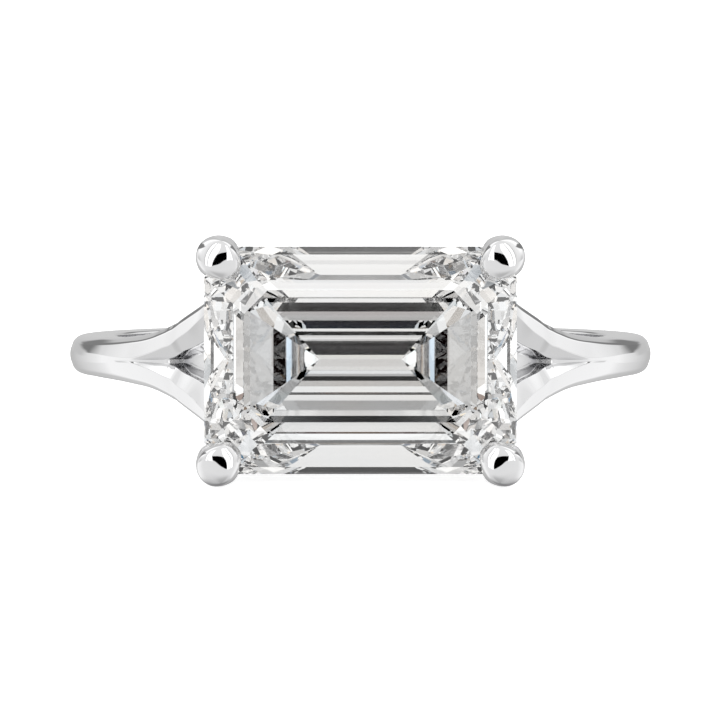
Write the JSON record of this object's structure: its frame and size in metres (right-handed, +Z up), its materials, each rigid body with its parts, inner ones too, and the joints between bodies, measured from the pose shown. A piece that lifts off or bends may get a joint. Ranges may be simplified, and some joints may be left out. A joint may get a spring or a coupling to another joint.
{
  "type": "emerald cut engagement ring",
  "caption": "Finger ring with a split shank and a claw head holding a large step-cut oblong stone set across the finger.",
  "frame": {"origin": "On the surface that the ring lies on, under the middle of its box. The ring lies on its side, as it rests by itself, on the two lower claws and the back of its band.", "axes": "+Z up from the surface, -Y the way the stone faces, +X to the right of the picture. The finger hole's axis leans from +Z towards +Y by the angle at which the ring rests."},
  "size_m": [0.0204, 0.0252, 0.0081],
  "materials": {
    "white_metal": "mirror-polished white gold or platinum",
    "clear_stone": "polished flat facets of a colourless diamond"
  },
  "bodies": {
    "root": {"mounting": "white_metal", "stone": "clear_stone"}
  },
  "joints": []
}
